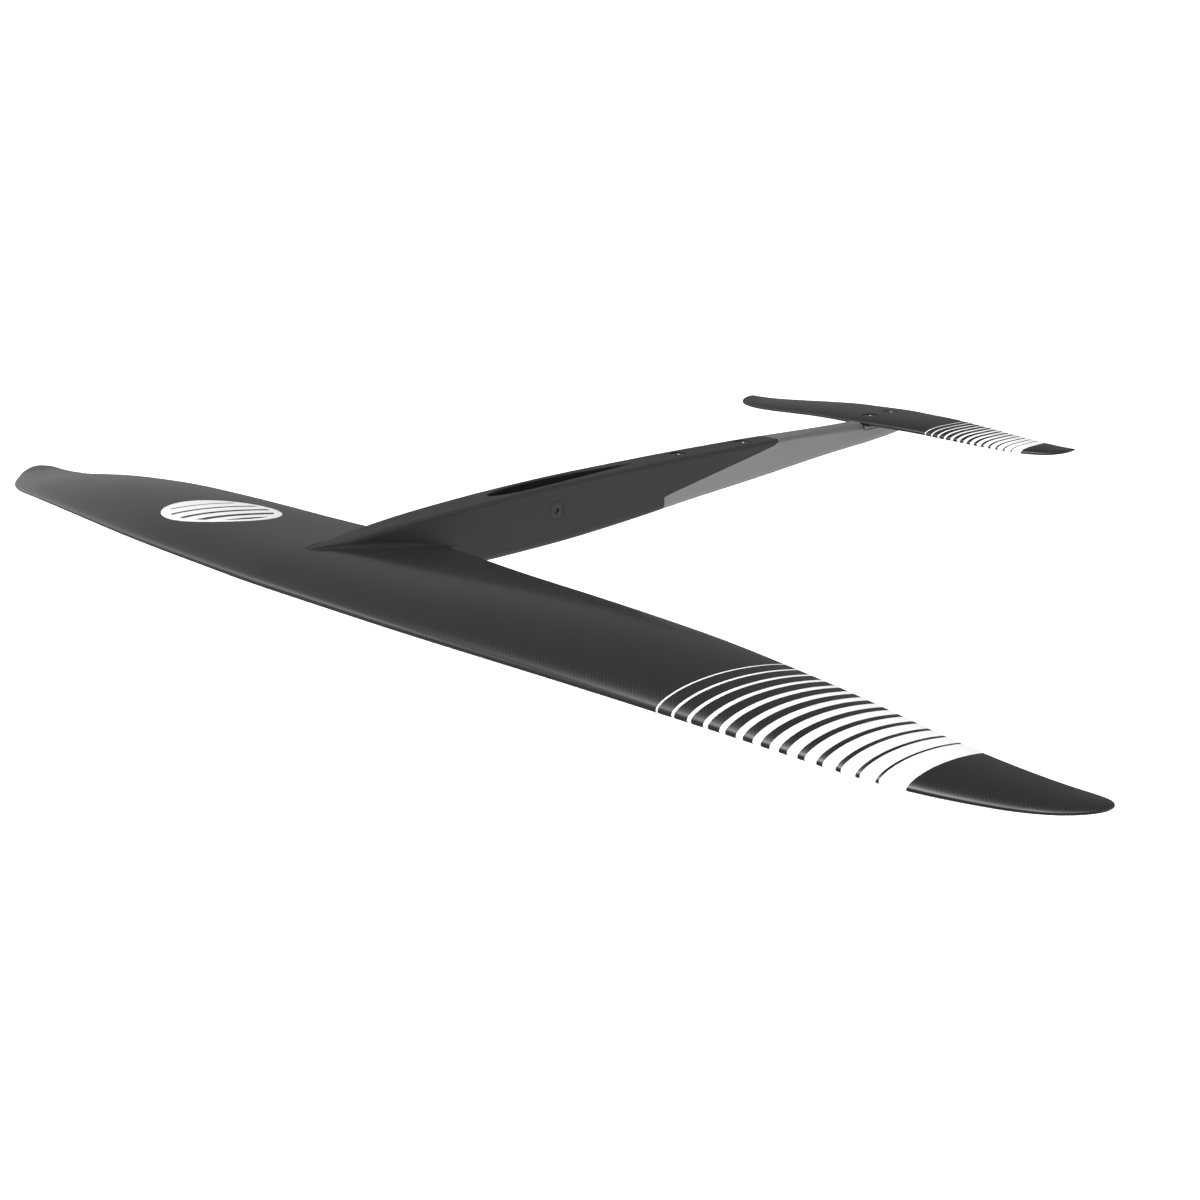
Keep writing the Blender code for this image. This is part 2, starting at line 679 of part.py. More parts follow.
def clear_scene():
    for item in list(bpy.data.objects):
        bpy.data.objects.remove(item, do_unlink=True)


clear_scene()
front_wing()
front_fuselage()
cross_fastening()
rear_fuselage()
stabiliser()
saddle_pad()
hang_moving_pieces()
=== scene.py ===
import math

import bmesh
import bpy
import numpy as np
from mathutils import Matrix, Vector


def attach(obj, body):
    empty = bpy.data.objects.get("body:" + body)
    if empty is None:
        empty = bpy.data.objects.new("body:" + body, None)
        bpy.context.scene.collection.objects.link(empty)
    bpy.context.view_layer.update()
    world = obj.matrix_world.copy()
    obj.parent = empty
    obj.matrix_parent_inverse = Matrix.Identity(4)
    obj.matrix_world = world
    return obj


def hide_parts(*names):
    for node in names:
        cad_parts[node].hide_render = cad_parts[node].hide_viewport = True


# A hydrofoil's front wing, two-part fuselage and stabiliser, with their screws.
# The span lies along X, the fuselage runs from the nose at -Y to the stabiliser
# at +Y, and Z is up. Sizes and places are in millimetres from the front wing's
# leading-edge datum; to_frame() moves them to the frame, in metres.
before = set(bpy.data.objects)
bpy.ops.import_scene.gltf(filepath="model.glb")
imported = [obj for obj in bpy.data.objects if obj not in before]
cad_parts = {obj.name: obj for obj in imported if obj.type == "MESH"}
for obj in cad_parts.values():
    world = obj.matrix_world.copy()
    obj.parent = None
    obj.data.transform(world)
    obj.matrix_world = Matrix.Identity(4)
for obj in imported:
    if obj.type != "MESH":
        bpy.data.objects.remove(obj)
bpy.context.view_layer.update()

MM = 0.001
GAP = 0.3                 # clearance between neighbouring pieces
MAST_Y = 241.0            # the frame's origin along Y
FLOOR_Z = -10.0           # floor of the mast pocket, the frame's origin along Z

# Foil stations:
# x, leading edge y, trailing edge y, leading edge z, trailing edge z, thickness / chord
WING = [
    (0.0, -4.0, 147.7, 4.0, -2.4, 0.120),
    (129.0, 1.8, 134.2, 2.6, -0.8, 0.122),
    (249.0, 17.9, 132.2, -2.5, -3.1, 0.120),
    (354.0, 40.0, 130.3, -11.5, -10.7, 0.115),
    (437.0, 65.5, 132.1, -22.6, -22.4, 0.110),
    (475.0, 84.8, 134.5, -26.6, -26.4, 0.105),
    (492.0, 96.1, 136.2, -28.1, -27.7, 0.105),
    (502.0, 103.1, 136.8, -28.1, -28.0, 0.105),
    (509.0, 109.7, 136.3, -27.9, -27.9, 0.110),
    (513.5, 115.0, 134.4, -27.6, -27.7, 0.120),
    (516.3, 120.0, 131.6, -27.4, -27.5, 0.145),
    (517.6, 124.0, 128.6, -27.4, -27.4, 0.260),
]
STAB = [
    (0.0, 588.3, 660.0, 21.2, 21.6, 0.095),
    (42.0, 593.5, 656.0, 20.2, 21.4, 0.100),
    (81.0, 600.3, 655.0, 17.5, 19.0, 0.105),
    (115.0, 607.4, 654.0, 14.7, 16.2, 0.110),
    (142.0, 616.0, 653.7, 12.9, 14.2, 0.110),
    (155.0, 623.3, 653.3, 12.7, 13.7, 0.110),
    (162.0, 630.2, 652.6, 13.1, 13.8, 0.115),
    (165.5, 636.9, 652.0, 13.7, 14.0, 0.130),
    (167.0, 643.5, 651.8, 14.2, 14.3, 0.180),
    (167.5, 647.5, 651.0, 14.5, 14.5, 0.350),
]
WING_TIP = WING[-1][0]
STAB_TIP = STAB[-1][0]
# Trailing edge thicknesses
WING_EDGE = 1.2
STAB_EDGE = 0.9
# Camber at the root and outboard: forward-loaded term s (1 - s)^3, then the
# parabolic term 4 s (1 - s); the one gives way to the other over CAMBER_END.
WING_CAMBER = ((0.14, 0.0), (0.0, 0.028))
FLAT = ((0.0, 0.0), (0.0, 0.0))
CAMBER_END = 250.0

# Fuselage stations: y, half width, top z, bottom z
BAR = [
    (37.0, 0.35, 12.6, -4.6),
    (44.0, 2.6, 13.8, -5.0),
    (50.0, 4.3, 14.3, -5.6),
    (60.0, 6.0, 14.9, -6.8),
    (75.0, 8.0, 16.4, -8.9),
    (103.0, 10.3, 18.9, -12.6),
    (129.0, 12.2, 20.6, -15.6),
    (155.0, 13.3, 21.9, -17.4),
    (181.0, 14.0, 23.1, -18.0),
    (215.0, 14.3, 24.3, -17.5),
    (250.0, 14.3, 25.2, -16.7),
    (290.0, 14.0, 25.6, -14.8),
    (330.0, 13.7, 25.6, -12.3),
    (370.0, 13.2, 25.5, -9.3),
    (410.0, 12.8, 25.0, -6.8),
    (445.0, 12.4, 24.5, -4.7),
    (470.0, 11.8, 24.0, -3.2),
    (500.0, 10.4, 23.3, -1.4),
    (530.0, 9.6, 22.6, 0.5),
    (560.0, 9.2, 22.1, 2.2),
]
SEAT_Z = 16.0             # stabiliser seat
TAIL = [
    (575.0, 9.1, 21.9, 2.9),
    (586.5, 9.0, 21.8, 3.4),
    (587.1, 9.0, SEAT_Z, 3.4),
    (605.0, 8.8, SEAT_Z, 4.5),
    (625.0, 8.5, SEAT_Z, 6.2),
    (642.0, 8.1, SEAT_Z, 8.2),
    (650.0, 7.4, SEAT_Z, 9.9),
    (655.0, 5.4, SEAT_Z, 12.6),
]
TOP_RADIUS, BOTTOM_RADIUS = 3.4, 5.0   # corners of the fuselage section

# Reach of the cutting tools beyond the pieces
CUT_TOP = 60.0
CUT_BOTTOM = -40.0
CUT_HALF_WIDTH = 40.0
CUT_SIDE = 12.0

# Scarf joint between the fuselage halves, seen from the side: y, z
SCARF = [(348.5, -CUT_TOP), (348.5, -0.8), (353.5, 0.6), (471.0, 19.8),
         (478.4, 22.2), (480.5, 25.0), (480.5, CUT_TOP)]

# Mast pocket: a symmetric foil section sunk into the front fuselage
POCKET_FRONT_Y = 191.5
POCKET_CHORD = 137.0
POCKET_T = 0.12
POCKET_HALF_EDGE = 0.25
POCKET_LIP = 0.9

# Screws and threaded inserts
SCREW_R, SCREW_BORE_R, HEAD_R, HEAD_SEAT_R = 2.9, 3.4, 5.65, 6.15
HEAD_H, INSERT_R, SOCKET_AF = 3.2, 4.3, 4.0
# y, tip z, top z of the head's recess
JOINT_SCREWS = {"front": (376.8, -5.2, 24.9), "rear": (448.5, 4.6, 23.9)}
STAB_SCREWS = {"front": (606.0, 9.0, 24.4), "rear": (634.0, 11.2, 23.9)}
CROSS_Z, CUP_R, CUP_BORE_R = 7.1, 6.5, 5.6
CUP_DEPTH = 3.6
RAKE_AXIS_Y, RAKE_LIMIT = 606.0, 1.0   # stabiliser rake, degrees either way

# Wing root fillets
FILLET_START_Y = {1: 43.5, -1: 40.0}   # above and below the wing
FILLET_LIP = 12.0                      # length behind the trailing edge

# Paint stripes on the +X half: place and width of the first, pitch, growth per
# stripe, outer end, and how far they bend towards -X at the trailing edge
WING_STRIPES = dict(first=315.85, pitch=8.865, width=1.0, growth=0.535,
                    end=443.4, bend=0.5)
STAB_STRIPES = dict(first=62.6, pitch=5.5, width=0.8, growth=0.31,
                    end=140.6, bend=2.25)
SOLID_FROM = 12.999       # pitches after which the paint is unbroken
EMBLEM = dict(centre_x=-134.0, centre_y=67.0, radius=40.5)

# Carbon twill: base tones of the tows, and their width
CARBON_DARK, CARBON_LIGHT = 0.0164, 0.0226
TOW_WIDTH = 0.65
FINE_BUMP = 0.00002       # metres

# Studio and camera, in metres and degrees
FLOOR_HEIGHT, FLOOR_RADIUS, FLOOR_SEGMENTS = -0.42, 60.0, 96
# elevation, azimuth, brightness, tightness, dimmed below the horizon
STUDIO_GLOWS = [(70.0, 174.0, 11.00, 13.8, False), (-6.9, -121.3, 1.42, 3.8, True),
                (14.0, -137.0, 2.45, 24.0, True), (-16.0, 47.0, 0.93, 4.0, False),
                (-80.0, 47.0, 2.20, 7.0, False)]
STUDIO_BASE = 0.115
CAMERA_PLACE = (0.91303, -0.82353, 0.3120)
CAMERA_PITCH, CAMERA_TURN = 73.583, 46.093


# ------------------------------------------------------------------- helpers
def to_frame(x, y, z):
    return (x * MM, (y - MAST_Y) * MM, (z - FLOOR_Z) * MM)


def ease(t):
    """Smooth step from 0 to 1."""
    t = min(1.0, max(0.0, t))
    return t * t * (3 - 2 * t)


def interpolate(rows, x):
    """Monotone cubic through a station table: its columns at x."""
    data = np.array(rows, float)
    xs = data[:, 0]
    x = min(max(x, xs[0]), xs[-1])
    i = min(max(int(np.searchsorted(xs, x)) - 1, 0), len(xs) - 2)
    step = np.diff(xs)
    rise = np.diff(data[:, 1:], axis=0) / step[:, None]
    slope = np.empty_like(data[:, 1:])
    slope[0], slope[-1] = rise[0], rise[-1]
    for k in range(1, len(xs) - 1):
        before, after = 2 * step[k] + step[k - 1], step[k] + 2 * step[k - 1]
        same = rise[k - 1] * rise[k] > 0
        # Stand-ins keep the division safe where the slope is set to zero.
        rise_in, rise_out = np.where(same, rise[k - 1], 1.0), np.where(same, rise[k], 1.0)
        slope[k] = np.where(same, (before + after) / (before / rise_in + after / rise_out), 0.0)
    t = (x - xs[i]) / step[i]
    low, high = data[i, 1:], data[i + 1, 1:]
    return ((1 + 2 * t) * (1 - t) ** 2 * low + t * (1 - t) ** 2 * step[i] * slope[i]
            + t * t * (3 - 2 * t) * high + t * t * (t - 1) * step[i] * slope[i + 1])


def gaussian(reach, count):
    """Offsets and weights of a Gaussian filter."""
    offsets = np.linspace(-reach, reach, count)
    weights = np.exp(-0.5 * offsets * offsets)
    return offsets, weights / weights.sum()


class Smooth:
    """A station table faired with a Gaussian whose width fades to nothing
    towards the table's ends; a mirrored one is symmetric about x = 0."""

    def __init__(self, rows, sigma, mirror=True, step=1.0):
        low, high = rows[0][0], rows[-1][0]
        self.mirror = mirror
        if mirror:
            # The samples crowd together over the last 12 mm.
            self.xs = np.concatenate([
                np.arange(low, high - 12.0, step),
                high - 12.0 * (1 - np.sin(np.linspace(0, math.pi / 2, 60)))])
        else:
            self.xs = np.arange(low, high + 0.5 * step, step)
            self.xs[-1] = high
        raw = np.array([interpolate(rows, x) for x in self.xs])
        self.values = raw.copy()
        offsets, weights = gaussian(2.6, 27)
        for k, x in enumerate(self.xs):
            reach = (high - x) / (6.0 if mirror else 2.6)
            if not mirror:
                reach = min(reach, (x - low) / 2.6)
            width = min(sigma, reach)
            if width <= 0:
                continue
            around = x + offsets * width
            around = np.abs(around) if mirror else around
            self.values[k] = [np.dot(weights, np.interp(around, self.xs, column))
                              for column in raw.T]

    def __call__(self, x):
        x = abs(x) if self.mirror else x
        return np.array([np.interp(x, self.xs, column) for column in self.values.T])


def thickness(s):
    """NACA four-digit half thickness, as a share of the full thickness."""
    return 5 * (0.2969 * np.sqrt(s) - 0.1260 * s - 0.3516 * s ** 2
                + 0.2843 * s ** 3 - 0.1036 * s ** 4)


def cosine_spacing(count):
    return 0.5 * (1 - np.cos(math.pi * np.arange(count + 1) / count))


def arc(centre_u, centre_v, radius, start, end, count):
    """Points of an arc, angles in degrees."""
    angles = [math.radians(start + (end - start) * k / count) for k in range(count + 1)]
    return [(centre_u + radius * math.cos(a), centre_v + radius * math.sin(a))
            for a in angles]


def link_object(name, mesh):
    piece = bpy.data.objects.new(name, mesh)
    bpy.context.scene.collection.objects.link(piece)
    return piece


def mesh_object(name, verts, faces, smooth=40.0):
    mesh = bpy.data.meshes.new(name)
    mesh.from_pydata([to_frame(*v) for v in verts], [], faces)
    shell = bmesh.new()
    shell.from_mesh(mesh)
    bmesh.ops.recalc_face_normals(shell, faces=shell.faces)
    shell.to_mesh(mesh)
    shell.free()
    mesh.shade_smooth()
    mesh.set_sharp_from_angle(angle=math.radians(smooth))
    return link_object(name, mesh)


def band(first, second, size):
    """Quads between two rings that start at the given vertices."""
    return [(first + i, first + (i + 1) % size, second + (i + 1) % size, second + i)
            for i in range(size)]


def bands(rings, size, start=0):
    return [quad for k in range(rings - 1)
            for quad in band(start + k * size, start + (k + 1) * size, size)]


def caps(rings, size, start=0):
    last = start + (rings - 1) * size
    return [tuple(range(start, start + size)),
            tuple(reversed(range(last, last + size)))]


def loft(name, rings, smooth=40.0):
    shape = len(rings), len(rings[0])
    verts = [point for ring in rings for point in ring]
    return mesh_object(name, verts, bands(*shape) + caps(*shape), smooth)


def prism(name, outline, axis, low, high):
    if axis == "x":
        rings = [[(h, u, v) for u, v in outline] for h in (low, high)]
    else:
        rings = [[(u, v, h) for u, v in outline] for h in (low, high)]
    return loft(name, rings)


def turned(name, profile, centre, axis, segments=72):
    """Turns (distance along the axis, radius) points about the axis. A profile
    that ends where it starts makes a ring, any other is capped."""
    closed = profile[0] == profile[-1]
    points = profile[:-1] if closed else profile
    verts = []
    for along, radius in points:
        for k in range(segments):
            angle = 2 * math.pi * k / segments
            u, v = radius * math.cos(angle), radius * math.sin(angle)
            offset = (along, u, v) if axis == "x" else (u, v, along)
            verts.append(tuple(c + o for c, o in zip(centre, offset)))
    rows = len(points)
    faces = bands(rows, segments)
    if closed:
        faces += band((rows - 1) * segments, 0, segments)
    else:
        faces += caps(rows, segments)
    return mesh_object(name, verts, faces, smooth=35.0)


def cut(target, tools, smooth=35.0):
    """Cuts the tools out of target for good, then removes them."""
    for tool in tools:
        mod = target.modifiers.new("cut", "BOOLEAN")
        mod.operation = "DIFFERENCE"
        mod.solver = "EXACT"
        mod.object = tool
    bpy.context.view_layer.update()
    deps = bpy.context.evaluated_depsgraph_get()
    mesh = bpy.data.meshes.new_from_object(target.evaluated_get(deps))
    target.modifiers.clear()
    target.data = mesh
    for tool in tools:
        bpy.data.objects.remove(tool, do_unlink=True)
    mesh.shade_smooth()
    mesh.set_sharp_from_angle(angle=math.radians(smooth))
    mod = target.modifiers.new("normals", "WEIGHTED_NORMAL")
    mod.keep_sharp = True
    mod.weight = 60
    return target


def dress(piece, material, body, slot, *replaced):
    piece.data.materials.clear()
    piece.data.materials.append(material)
    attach(piece, body)
    if replaced:
        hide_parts(*replaced)


# --------------------------------------------------------------------- foils
class Foil:
    """A wing about x = 0; s runs along the chord from nose (0) to tail (1)."""

    def __init__(self, rows, camber, edge, fairing, tip_from, tip_fairing):
        self.stations = Smooth(rows, fairing)
        self.tip = rows[-1][0]
        self.camber, self.edge = camber, edge
        self.round_tip(rows, tip_from, tip_fairing)

    def round_tip(self, rows, start, sigma):
        """Fairs the tip's outline along its own length, from the leading edge
        round to the trailing edge, and keeps the span."""
        xs = np.concatenate([np.arange(start - 12.0, self.tip, 0.25), [self.tip]])
        edges = np.array([interpolate(rows, x)[:2] for x in xs])
        curve = np.concatenate([np.stack([xs, edges[:, 0]], 1),
                                np.stack([xs, edges[:, 1]], 1)[::-1]])
        run = np.concatenate([[0], np.cumsum(np.hypot(*np.diff(curve, axis=0).T))])
        at_run = np.arange(0.0, run[-1], 0.2)
        line = [np.interp(at_run, run, curve[:, k]) for k in (0, 1)]
        soft = sum(weight * np.stack([np.interp(at_run + offset * sigma, at_run, column)
                                      for column in line], 1)
                   for offset, weight in zip(*gaussian(3.0, 61)))
        top = int(np.argmax(soft[:, 0]))
        part = np.clip((soft[:, 0] - start) / (soft[top, 0] - start), 0, 1)
        soft[:, 0] += (self.tip - soft[top, 0]) * part ** 2
        fore, aft = soft[:top + 1], soft[top:][::-1]
        table = self.stations
        late = table.xs >= start
        mix = np.clip((table.xs[late] - start) / 8.0, 0, 1)
        for column, side in ((0, fore), (1, aft)):
            # np.interp needs x that never falls.
            rising = np.maximum.accumulate(side[:, 0])
            y = np.interp(table.xs[late], rising, side[:, 1])
            table.values[late, column] += mix * (y - table.values[late, column])

    def mid(self, x, s):
        """y and z of the camber line."""
        nose_y, tail_y, nose_z, tail_z, _ = self.stations(x)
        chord = tail_y - nose_y
        out = ease(abs(x) / CAMBER_END)
        forward, parabolic = (root + out * (tip - root) for root, tip in zip(*self.camber))
        bow = forward * s * (1 - s) ** 3 + 4 * parabolic * s * (1 - s)
        return nose_y + s * chord, nose_z + s * (tail_z - nose_z) + bow * chord

    def half(self, x, s):
        """Half thickness, rounded off at the trailing edge and the tip."""
        nose_y, tail_y, _, _, ratio = self.stations(x)
        chord = tail_y - nose_y
        height = (ratio * chord * thickness(s) + 0.5 * self.edge * s
                  + 0.5 * GAP * (1 - np.exp(-300.0 * s)))
        edge_radius = 0.5 * (self.edge + GAP)
        inset = np.clip((1 - s) * chord / edge_radius, 0, 1)
        height = height * np.sqrt(np.clip(1 - (1 - inset) ** 2, 0, 1))
        round_from = self.tip - 1.3
        if abs(x) > round_from:
            q = (abs(x) - round_from) / (self.tip - round_from)
            height = height * max(0.15, math.sqrt(max(0.0, 1 - q * q)))
        return height

    def surface_z(self, x, y, up):
        """Height of the upper (up = 1) or lower (up = -1) surface."""
        nose_y, tail_y = self.stations(x)[:2]
        s = min(max((y - nose_y) / (tail_y - nose_y), 0.0), 1.0)
        return self.mid(x, s)[1] + up * float(self.half(x, s))

    def build(self, name, xs, count):
        """Rings run from the trailing edge over the top to the nose and back
        underneath. The "chord" attribute holds s."""
        s = cosine_spacing(count)
        order = list(range(count, 0, -1)) + list(range(count))
        sides = [0] + [1] * (count - 1) + [0] + [-1] * (count - 1)
        size = 2 * count
        verts = []
        for x in xs:
            y, z = self.mid(x, s)
            height = self.half(x, s)
            verts += [(float(x), float(y[k]), float(z[k] + side * height[k]))
                      for k, side in zip(order, sides)]
        chord = [s[k] for k in order] * len(xs)
        faces = bands(len(xs), size)
        # Each end is closed with strips between upper and lower points.
        for start, flip in ((0, False), ((len(xs) - 1) * size, True)):
            for k in range(count):
                corners = (k, k + 1, size - k - 1, (size - k) % size)
                face = [start + v for v in dict.fromkeys(corners)]
                faces.append(tuple(reversed(face) if flip else face))
        piece = mesh_object(name, verts, faces, smooth=50.0)
        layer = piece.data.attributes.new("chord", "FLOAT", "POINT")
        layer.data.foreach_set("value", np.array(chord, np.float32))
        return piece


def spanwise(tip, step, fine_from, fine_step, end_from, end_count):
    """Ring places from tip to tip, in three ever finer zones each side."""
    half = list(np.arange(0.0, fine_from, step))
    half += list(np.arange(fine_from, end_from, fine_step))
    turn = np.linspace(0, math.pi / 2, end_count)
    half += list(end_from + (tip - end_from) * np.sin(turn))
    half = sorted(set(round(float(x), 4) for x in half))
    keep = [half[0]]
    for x in half[1:]:
        if x - keep[-1] > 0.04:
            keep.append(x)
    keep[-1] = tip
    return [-x for x in reversed(keep[1:])] + keep


# ------------------------------------------------------------------ fuselage
bar_table = Smooth(BAR, 7.0, mirror=False)
tail_table = Smooth(TAIL[2:], 3.0, mirror=False, step=0.5)
MAST_HALF_WIDTH = interpolate(BAR, MAST_Y)[0]
CUP_FLOOR = MAST_HALF_WIDTH - CUP_DEPTH
CROSS_CENTRE = (0.0, MAST_Y, CROSS_Z)


def rounded(y, half_width, top, bottom, top_radius=TOP_RADIUS):
    """Rounded rectangle in the XZ plane at station y, with points along its
    straight sides so that surfaces shade evenly."""
    corner_count, side_count = 9, 3
    limits = (0.62 * half_width, 0.45 * (top - bottom))
    upper, lower = min(top_radius, *limits), min(BOTTOM_RADIUS, *limits)
    corners = [arc(half_width - upper, top - upper, upper, 0, 90, corner_count),
               arc(-half_width + upper, top - upper, upper, 90, 180, corner_count),
               arc(-half_width + lower, bottom + lower, lower, 180, 270, corner_count),
               arc(half_width - lower, bottom + lower, lower, 270, 360, corner_count)]
    points = []
    for k in range(4):
        points += corners[k]
        start, end = corners[k][-1], corners[(k + 1) % 4][0]
        points += [(start[0] + (end[0] - start[0]) * i / (side_count + 1),
                    start[1] + (end[1] - start[1]) * i / (side_count + 1))
                   for i in range(1, side_count + 1)]
    return [(x, y, z) for x, z in points]


def bore_tool(y, bottom, head):
    """Clearance bore and countersink, with a softened lip."""
    lip_radius = HEAD_SEAT_R + 0.3
    return turned("bore", [(bottom, SCREW_BORE_R), (head - HEAD_H - 0.1, SCREW_BORE_R),
                           (head - 0.6, HEAD_SEAT_R), (head - 0.45, lip_radius),
                           (head + 9.0, lip_radius)],
                  (0.0, y, 0.0), "z")


def pocket_tool():
    """The mast's section, with a rounded lip where it meets the top face."""
    count, lip_steps = 60, 6
    s = cosine_spacing(count)
    width = POCKET_T * POCKET_CHORD * thickness(s) + POCKET_HALF_EDGE * s
    side = list(zip(width, POCKET_FRONT_Y + s * POCKET_CHORD))
    points = np.array(side + [(-x, y) for x, y in reversed(side[1:])])
    tangent = np.roll(points, -1, 0) - np.roll(points, 1, 0)
    outward = np.stack([tangent[:, 1], -tangent[:, 0]], 1)
    outward /= np.linalg.norm(outward, axis=1)[:, None]
    rings = [[(x, y, FLOOR_Z) for x, y in points]]
    for k in range(lip_steps + 1):
        angle = math.pi / 2 * k / lip_steps
        out = POCKET_LIP * (1 - math.cos(angle))
        drop = POCKET_LIP * (1 - math.sin(angle))
        rings.append([(x, y, float(bar_table(y)[1]) - drop + 0.02)
                      for x, y in points + outward * out])
    rings.append([(x, y, CUT_TOP) for x, y in points + outward * POCKET_LIP])
    return loft("pocket", rings)


def front_fuselage():
    stations = list(np.arange(37.0, 60.0, 1.0)) + list(np.arange(60.0, 486.0, 3.0))
    bar = loft("front_fuselage_moulding",
               [rounded(y, *bar_table(y)) for y in stations], smooth=50.0)
    far_y = 700.0
    outside = MAST_HALF_WIDTH + CUT_SIDE
    profiles = {
        "cup": [(CUP_FLOOR, CUP_R + 0.06), (MAST_HALF_WIDTH - 0.15, CUP_R + 0.06),
                (MAST_HALF_WIDTH - 0.03, CUP_R + 0.18), (outside, CUP_R + 0.18)],
        "cross": [(0.0, SCREW_BORE_R), (outside, SCREW_BORE_R)],
        "blind": [(-MAST_HALF_WIDTH + 1.0, INSERT_R + GAP), (0.0, INSERT_R + GAP)],
    }
    tools = [prism("scarf", SCARF + [(far_y, CUT_TOP), (far_y, -CUT_TOP)],
                   "x", -CUT_HALF_WIDTH, CUT_HALF_WIDTH), pocket_tool()]
    tools += [turned(name, profile, CROSS_CENTRE, "x")
              for name, profile in profiles.items()]
    tools += [bore_tool(y, CUT_BOTTOM, head) for y, _, head in JOINT_SCREWS.values()]
    return cut(bar, tools)


def rear_bar():
    step_free = Smooth(BAR + TAIL[:1], 7.0, mirror=False)
    rings = []
    for y in list(np.arange(346.0, 575.0, 3.0)) + [575.0, 579.0, 583.0, 586.5]:
        section = step_free(y) if y <= 575.0 else interpolate(BAR + TAIL, y)
        rings.append(rounded(y, *section,
                             top_radius=TOP_RADIUS + 2.1 * ease((y - 500.0) / 80.0)))
    for y in [587.1, 590.0] + list(np.arange(593.0, 655.0, 2.0)) + [655.0]:
        rings.append(rounded(y, *tail_table(y), top_radius=0.7))
    bar = loft("rear_fuselage_bar", rings, smooth=50.0)
    # The joint's faces stand clear of the front half by the gap, less in y
    # along the ramp.
    above = [(y + (GAP if k < 2 or k > 4 else 0.1), z - (GAP if k > 0 else 0))
             for k, (y, z) in enumerate(SCARF)]
    near_y = 300.0
    tools = [prism("scarf", above + [(near_y, CUT_TOP), (near_y, -CUT_TOP)],
                   "x", -CUT_HALF_WIDTH, CUT_HALF_WIDTH)]
    for y, tip, _ in list(JOINT_SCREWS.values()) + list(STAB_SCREWS.values()):
        tools.append(turned("hole", [(tip - 1.2, INSERT_R + GAP),
                                     (CUT_TOP, INSERT_R + GAP)],
                            (0.0, y, 0.0), "z"))
    return cut(bar, tools)


def fillet_section(foil, up, y, end_y, end_z):
    """x and z of one fillet section on the +X side."""
    wall = float(bar_table(y)[0]) - 0.03
    grown = min(1.0, (y - FILLET_START_Y[up]) / 22.0)
    fade = min(1.0, max(0.0, (end_y - y) / 30.0))
    radius = 0.25 + grown ** 0.8 * (1.0 + 1.6 * fade)
    lip = min(1.0, max(0.0, (y - end_y) / FILLET_LIP))
    surface_y = min(y, end_y - 0.8)
    depth = 0.8
    if lip > 0.0:
        radius = radius * (1 - lip) ** 1.3 + 0.05
        depth = 0.8 * (1 - lip) + 0.05
        lip_z = (foil.surface_z(wall, surface_y, up) * (1 - lip)
                 + (end_z - 0.4 * lip) * lip)
    ring = []
    for x, lift in arc(wall + radius, radius, radius, 180, 270, 10):
        z = lip_z if lip > 0.0 else foil.surface_z(x, surface_y, up)
        ring.append((x, z + up * lift))
    # The rest of the section is buried in the wing and the fuselage.
    outer_z = ring[-1][1] - up * 0.02
    ring[-1] = (ring[-1][0], outer_z)
    buried_x = wall - 1.2
    return ring + [(wall + radius, outer_z - up * depth),
                   (buried_x, outer_z - up * depth - up * 0.2),
                   (buried_x, ring[0][1])]


def root_fillets(foil):
    """Concave strips that fill the corners between the wing's surfaces and
    the fuselage sides. They fade at the nose, narrow towards the trailing edge
    and end in a thin lip behind it. Each is a closed shell buried in its
    neighbours."""
    verts, faces = [], []
    end_y = float(foil.stations(13.0)[1])
    end_z = float(foil.mid(12.0, 1.0)[1])
    for sign in (-1, 1):
        for up in (1, -1):
            ys = list(np.linspace(FILLET_START_Y[up], end_y, 56))
            ys += list(np.linspace(end_y, end_y + FILLET_LIP, 14)[1:])
            rings = [[(sign * x, y, z) for x, z in fillet_section(foil, up, y, end_y, end_z)]
                     for y in ys]
            shape = len(rings), len(rings[0]), len(verts)
            verts += [point for ring in rings for point in ring]
            faces += bands(*shape) + caps(*shape)
    return mesh_object("wing_root_fillets", verts, faces, smooth=60.0)


def seat_pad():
    """Pad that fills the space between the seat and the stabiliser's underside,
    less the room the stabiliser needs to change its rake."""
    seat = SEAT_Z + GAP
    nose_y, tail_y, nose_z, tail_z, ratio = interpolate(STAB, 0.0)
    corner = 0.35
    rings = []
    for y in np.linspace(588.5, 652.0, 50):
        s = (y - nose_y) / (tail_y - nose_y)
        under = (nose_z * (1 - s) + tail_z * s - GAP / 2
                 - float(ratio * (tail_y - nose_y) * thickness(s)) - 0.5 * STAB_EDGE * s)
        swing = math.tan(math.radians(RAKE_LIMIT)) * abs(y - RAKE_AXIS_Y)
        top = min(under - 0.35 - swing, 20.0)
        width = float(tail_table(y)[0])
        ring = [(-width, seat), (width, seat)]
        ring += arc(width - corner, top - corner, corner, 0, 90, 4)
        ring += arc(-width + corner, top - corner, corner, 90, 180, 4)
        rings.append([(x, y, z) for x, z in ring])
    pad = loft("stabiliser_seat_pad_moulded", rings)
    radius = SCREW_BORE_R + 0.2
    return cut(pad, [turned("bore", [(seat - 5.0, radius), (30.0, radius)],
                            (0.0, y, 0.0), "z")
                     for y, _, _ in STAB_SCREWS.values()])


# ----------------------------------------------------------------- fasteners
def socket_tools(centre, axis, face, depth):
    """Hexagon socket with a turned lead-in chamfer."""
    radius = SOCKET_AF / math.sqrt(3)
    across, along = centre[:2] if axis == "z" else centre[1:]
    hexagon = [(across + radius * math.cos(math.radians(60 * k + 30)),
                along + radius * math.sin(math.radians(60 * k + 30))) for k in range(6)]
    return [prism("socket", hexagon, axis, face - depth, face + 3),
            turned("lead", [(face - 0.35, radius - 0.32), (face + 0.1, radius + 0.13),
                            (face + 2.0, radius + 0.13)], centre, axis, segments=48)]


